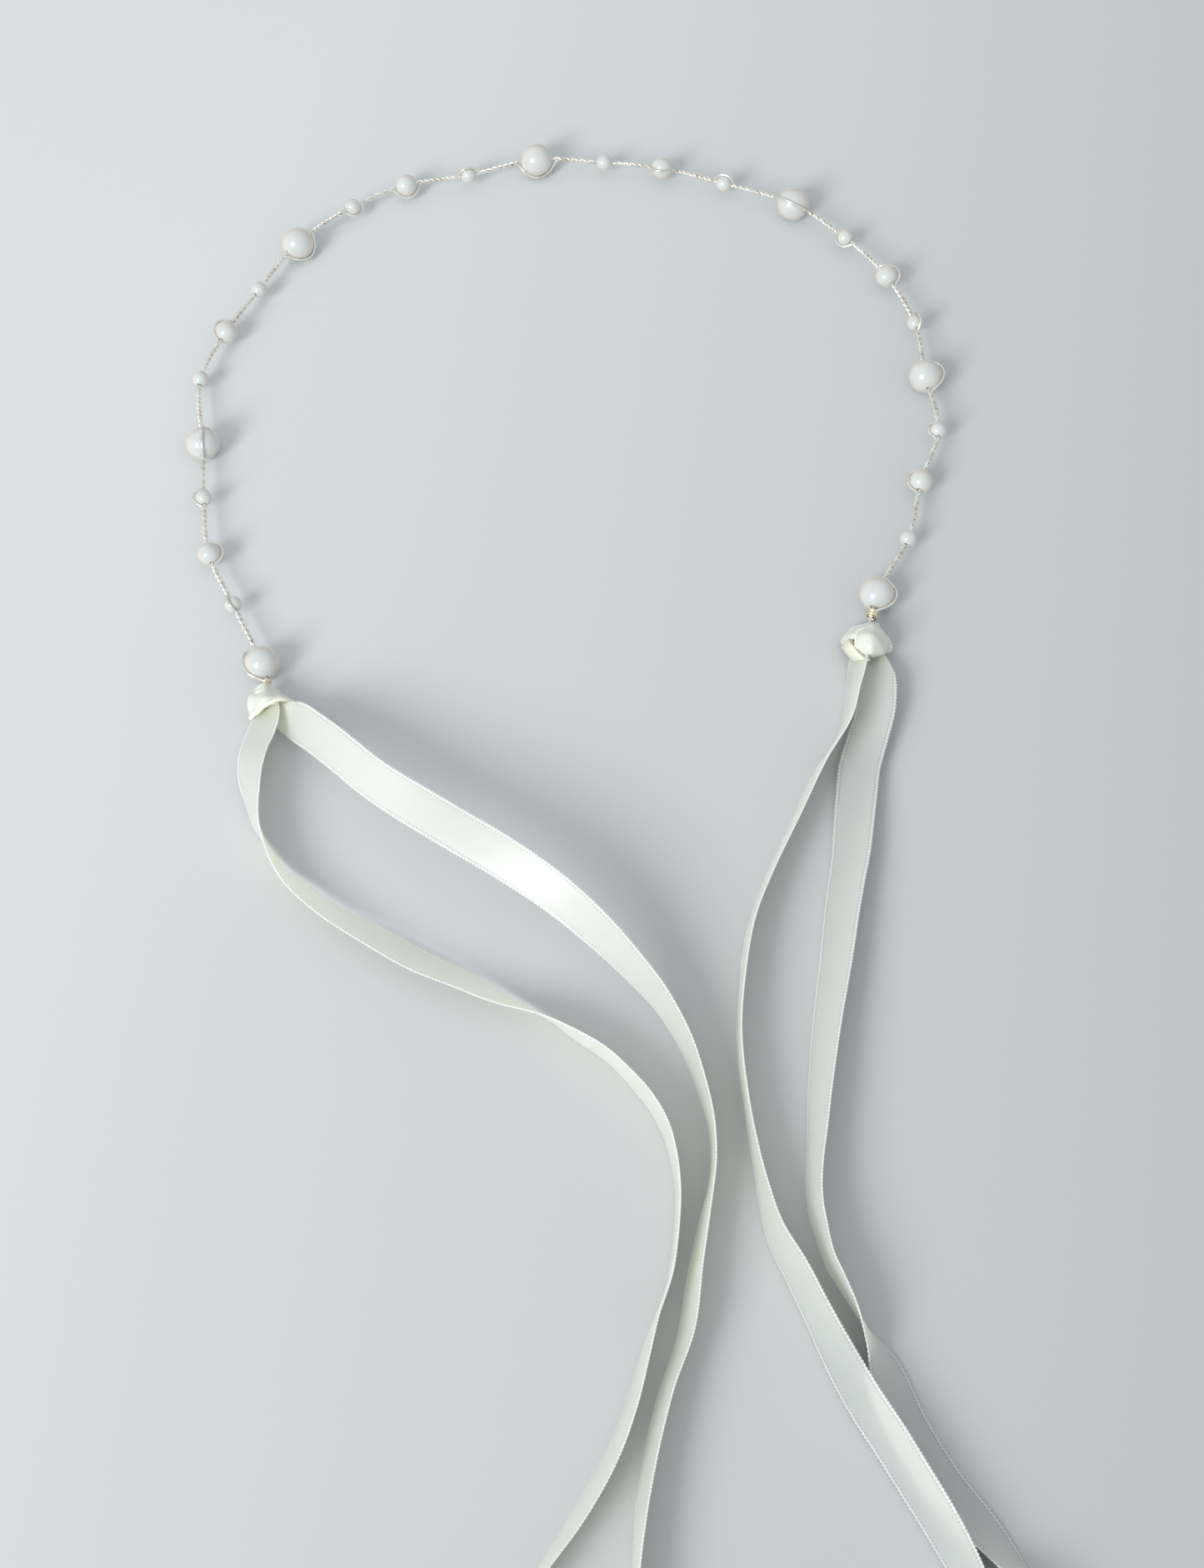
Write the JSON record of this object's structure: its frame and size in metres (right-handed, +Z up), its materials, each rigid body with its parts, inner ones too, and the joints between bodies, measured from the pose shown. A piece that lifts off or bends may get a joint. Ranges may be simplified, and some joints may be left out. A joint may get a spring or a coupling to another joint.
{
  "type": "pearl hair crown",
  "caption": "Hair crown of pearls in three sizes threaded on a band of twisted wire, with a tied satin ribbon swinging on an eyelet at each end.",
  "frame": {"origin": "on the surface that the crown lies on, under the middle of the box round the band, pearls and knots", "axes": "+X from the band's left end to its right end, +Y from the ribbons towards the top of the band's arc, +Z up from the surface"},
  "size_m": [0.2247, 0.4652, 0.0178],
  "materials": {
    "pearl": "ivory pearl lacquer, glossy with a soft sheen",
    "wire": "bright pale champagne plating",
    "collar": "polished gold-coloured wire",
    "ribbon": "ivory satin with a woven picot edge"
  },
  "bodies": {
    "band": {"stringing_wire": "wire", "binding_wire": "wire", "left_collar": "collar", "right_collar": "collar"},
    "pearl_01": {"pearl_01": "pearl"},
    "pearl_02": {"pearl_02": "pearl"},
    "pearl_03": {"pearl_03": "pearl"},
    "pearl_04": {"pearl_04": "pearl"},
    "pearl_05": {"pearl_05": "pearl"},
    "pearl_06": {"pearl_06": "pearl"},
    "pearl_07": {"pearl_07": "pearl"},
    "pearl_08": {"pearl_08": "pearl"},
    "pearl_09": {"pearl_09": "pearl"},
    "pearl_10": {"pearl_10": "pearl"},
    "pearl_11": {"pearl_11": "pearl"},
    "pearl_12": {"pearl_12": "pearl"},
    "pearl_13": {"pearl_13": "pearl"},
    "pearl_14": {"pearl_14": "pearl"},
    "pearl_15": {"pearl_15": "pearl"},
    "pearl_16": {"pearl_16": "pearl"},
    "pearl_17": {"pearl_17": "pearl"},
    "pearl_18": {"pearl_18": "pearl"},
    "pearl_19": {"pearl_19": "pearl"},
    "pearl_20": {"pearl_20": "pearl"},
    "pearl_21": {"pearl_21": "pearl"},
    "pearl_22": {"pearl_22": "pearl"},
    "pearl_23": {"pearl_23": "pearl"},
    "pearl_24": {"pearl_24": "pearl"},
    "pearl_25": {"pearl_25": "pearl"},
    "left_ribbon": {"left_ribbon_knot": "ribbon", "left_tail_outer": "ribbon", "left_tail_outer_coil": "ribbon", "left_tail_inner": "ribbon", "left_tail_inner_coil": "ribbon"},
    "right_ribbon": {"right_ribbon_knot": "ribbon", "right_tail_inner": "ribbon", "right_tail_inner_coil": "ribbon", "right_tail_outer": "ribbon", "right_tail_outer_coil": "ribbon"}
  },
  "joints": [
    {"name": "left_ribbon_swing", "type": "hinge", "parent": "band", "child": "left_ribbon", "pos_m": [-0.0648, -0.0832, 0.004], "axis": [0, 0, 1], "range_deg": [-60, 0]},
    {"name": "right_ribbon_swing", "type": "hinge", "parent": "band", "child": "right_ribbon", "pos_m": [0.0675, -0.066, 0.004], "axis": [0, 0, 1], "range_deg": [0, 60]},
    {"name": "turn_pearl_01", "type": "hinge", "parent": "band", "child": "pearl_01", "pos_m": [-0.0675, -0.0725, 0.004], "axis": [-0.3307, 0.9437, 0], "continuous": true},
    {"name": "turn_pearl_02", "type": "hinge", "parent": "band", "child": "pearl_02", "pos_m": [-0.075, -0.056, 0.004], "axis": [-0.4117, 0.9113, 0], "continuous": true},
    {"name": "turn_pearl_03", "type": "hinge", "parent": "band", "child": "pearl_03", "pos_m": [-0.0815, -0.0415, 0.004], "axis": [-0.282, 0.9594, 0], "continuous": true},
    {"name": "turn_pearl_04", "type": "hinge", "parent": "band", "child": "pearl_04", "pos_m": [-0.084, -0.025, 0.004], "axis": [-0.1201, 0.9928, 0], "continuous": true},
    {"name": "turn_pearl_05", "type": "hinge", "parent": "band", "child": "pearl_05", "pos_m": [-0.0855, -0.0085, 0.004], "axis": [-0.0953, 0.9955, 0], "continuous": true},
    {"name": "turn_pearl_06", "type": "hinge", "parent": "band", "child": "pearl_06", "pos_m": [-0.0875, 0.0115, 0.004], "axis": [0.1106, 0.9939, 0], "continuous": true},
    {"name": "turn_pearl_07", "type": "hinge", "parent": "band", "child": "pearl_07", "pos_m": [-0.0825, 0.0265, 0.004], "axis": [0.3829, 0.9238, 0], "continuous": true},
    {"name": "turn_pearl_08", "type": "hinge", "parent": "band", "child": "pearl_08", "pos_m": [-0.0755, 0.0405, 0.004], "axis": [0.464, 0.8858, 0], "continuous": true},
    {"name": "turn_pearl_09", "type": "hinge", "parent": "band", "child": "pearl_09", "pos_m": [-0.067, 0.056, 0.004], "axis": [0.6077, 0.7941, 0], "continuous": true},
    {"name": "turn_pearl_10", "type": "hinge", "parent": "band", "child": "pearl_10", "pos_m": [-0.054, 0.0685, 0.004], "axis": [0.7994, 0.6008, 0], "continuous": true},
    {"name": "turn_pearl_11", "type": "hinge", "parent": "band", "child": "pearl_11", "pos_m": [-0.041, 0.076, 0.004], "axis": [0.9314, 0.3639, 0], "continuous": true},
    {"name": "turn_pearl_12", "type": "hinge", "parent": "band", "child": "pearl_12", "pos_m": [-0.0255, 0.0795, 0.004], "axis": [0.9644, 0.2644, 0], "continuous": true},
    {"name": "turn_pearl_13", "type": "hinge", "parent": "band", "child": "pearl_13", "pos_m": [-0.0085, 0.085, 0.004], "axis": [0.9919, 0.1269, 0], "continuous": true},
    {"name": "turn_pearl_14", "type": "hinge", "parent": "band", "child": "pearl_14", "pos_m": [0.0085, 0.084, 0.004], "axis": [0.9952, -0.0979, 0], "continuous": true},
    {"name": "turn_pearl_15", "type": "hinge", "parent": "band", "child": "pearl_15", "pos_m": [0.023, 0.082, 0.004], "axis": [0.9716, -0.2368, 0], "continuous": true},
    {"name": "turn_pearl_16", "type": "hinge", "parent": "band", "child": "pearl_16", "pos_m": [0.0385, 0.0765, 0.004], "axis": [0.9339, -0.3576, 0], "continuous": true},
    {"name": "turn_pearl_17", "type": "hinge", "parent": "band", "child": "pearl_17", "pos_m": [0.0555, 0.0695, 0.004], "axis": [0.8435, -0.5372, 0], "continuous": true},
    {"name": "turn_pearl_18", "type": "hinge", "parent": "band", "child": "pearl_18", "pos_m": [0.068, 0.058, 0.004], "axis": [0.6661, -0.7458, 0], "continuous": true},
    {"name": "turn_pearl_19", "type": "hinge", "parent": "band", "child": "pearl_19", "pos_m": [0.0775, 0.045, 0.004], "axis": [0.4796, -0.8775, 0], "continuous": true},
    {"name": "turn_pearl_20", "type": "hinge", "parent": "band", "child": "pearl_20", "pos_m": [0.0835, 0.0295, 0.004], "axis": [0.2265, -0.974, 0], "continuous": true},
    {"name": "turn_pearl_21", "type": "hinge", "parent": "band", "child": "pearl_21", "pos_m": [0.085, 0.0125, 0.004], "axis": [0.1025, -0.9947, 0], "continuous": true},
    {"name": "turn_pearl_22", "type": "hinge", "parent": "band", "child": "pearl_22", "pos_m": [0.087, -0.0045, 0.004], "axis": [-0.0973, -0.9953, 0], "continuous": true},
    {"name": "turn_pearl_23", "type": "hinge", "parent": "band", "child": "pearl_23", "pos_m": [0.082, -0.02, 0.004], "axis": [-0.2683, -0.9633, 0], "continuous": true},
    {"name": "turn_pearl_24", "type": "hinge", "parent": "band", "child": "pearl_24", "pos_m": [0.078, -0.037, 0.004], "axis": [-0.3405, -0.9402, 0], "continuous": true},
    {"name": "turn_pearl_25", "type": "hinge", "parent": "band", "child": "pearl_25", "pos_m": [0.07, -0.053, 0.004], "axis": [-0.3213, -0.947, 0], "continuous": true}
  ]
}
